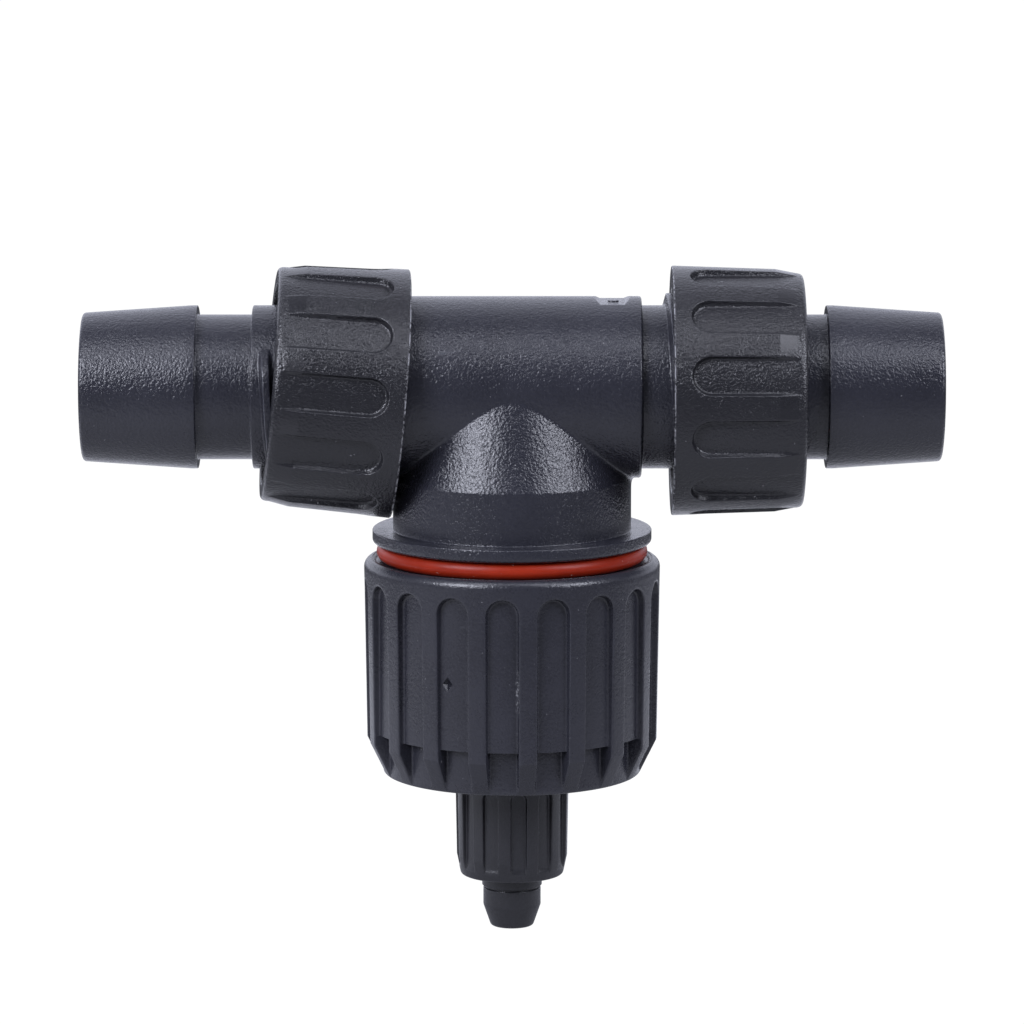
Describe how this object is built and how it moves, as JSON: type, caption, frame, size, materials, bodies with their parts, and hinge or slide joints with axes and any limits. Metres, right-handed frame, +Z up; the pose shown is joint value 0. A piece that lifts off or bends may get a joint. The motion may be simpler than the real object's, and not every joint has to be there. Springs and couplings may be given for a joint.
{
  "type": "barbed tee connector",
  "caption": "Dark plastic hose tee with barbed tails, fluted clamp nuts, an O-ring sealed screw-on diffuser chamber and a small tube nut below.",
  "frame": {"origin": "where the run axis crosses the branch axis", "axes": "+X along the run to the right hose tail, +Z up, branch and chamber point down -Z"},
  "size_m": [0.0712, 0.0248, 0.056],
  "materials": {
    "body_plastic": "fine spark-eroded grain",
    "nut_plastic": "satin with light grain",
    "red_silicone": "smooth, slightly glossy",
    "black_rubber": "smooth",
    "white_plastic": "satin",
    "ceramic": "fine porous",
    "steel": "polished"
  },
  "bodies": {
    "tee": {"tee_body": "body_plastic", "flange_o_ring": "red_silicone"},
    "left_nut": {"left_hose_nut": "nut_plastic", "left_grip_ring": "white_plastic"},
    "right_ring": {"right_grip_ring": "white_plastic"},
    "right_nut": {"right_hose_nut": "nut_plastic"},
    "carrier": {"element_carrier": "white_plastic", "porous_element": "ceramic", "element_gasket": "black_rubber", "carrier_seal": "black_rubber"},
    "cap": {"chamber_cap": "nut_plastic", "retaining_ring": "steel", "valve_seat": "black_rubber"},
    "ball": {"valve_ball": "steel"},
    "tail": {"tube_tail": "nut_plastic", "tail_o_ring": "black_rubber"},
    "tube_nut": {"tube_nut": "nut_plastic"}
  },
  "joints": [
    {"name": "left_nut_spin", "type": "hinge", "parent": "tee", "child": "left_nut", "pos_m": [-0.01479, 0, -0.00015], "axis": [-0.9936, -0.0698, 0.0887], "continuous": true},
    {"name": "right_nut_travel", "type": "slide", "parent": "tee", "child": "right_ring", "axis": [1, 0, 0], "range_m": [-0.0024, 0.0024]},
    {"name": "right_nut_turn", "type": "hinge", "parent": "right_ring", "child": "right_nut", "pos_m": [0.01325, 0, -0.0003], "axis": [1, 0, 0], "range_deg": [-360, 360]},
    {"name": "cap_travel", "type": "slide", "parent": "tee", "child": "carrier", "axis": [0, 0, -1], "range_m": [0, 0.005]},
    {"name": "cap_turn", "type": "hinge", "parent": "carrier", "child": "cap", "pos_m": [0, 0, -0.025], "axis": [0, 0, -1], "range_deg": [0, 720]},
    {"name": "valve_ball_lift", "type": "slide", "parent": "cap", "child": "ball", "axis": [0, 0, 1], "range_m": [0, 0.0006]},
    {"name": "tail_travel", "type": "slide", "parent": "cap", "child": "tail", "axis": [0, 0, -1], "range_m": [0, 0.0015]},
    {"name": "tube_nut_turn", "type": "hinge", "parent": "tail", "child": "tube_nut", "pos_m": [0, 0, -0.037], "axis": [0, 0, -1], "range_deg": [0, 540]}
  ],
  "couplings": [
    {"joint": "right_nut_travel", "follows": "right_nut_turn", "m_per_rad": 0.00038197},
    {"joint": "cap_travel", "follows": "cap_turn", "m_per_rad": 0.00039789},
    {"joint": "tube_nut_turn", "follows": "tail_travel", "rad_per_m": 6283.2}
  ]
}
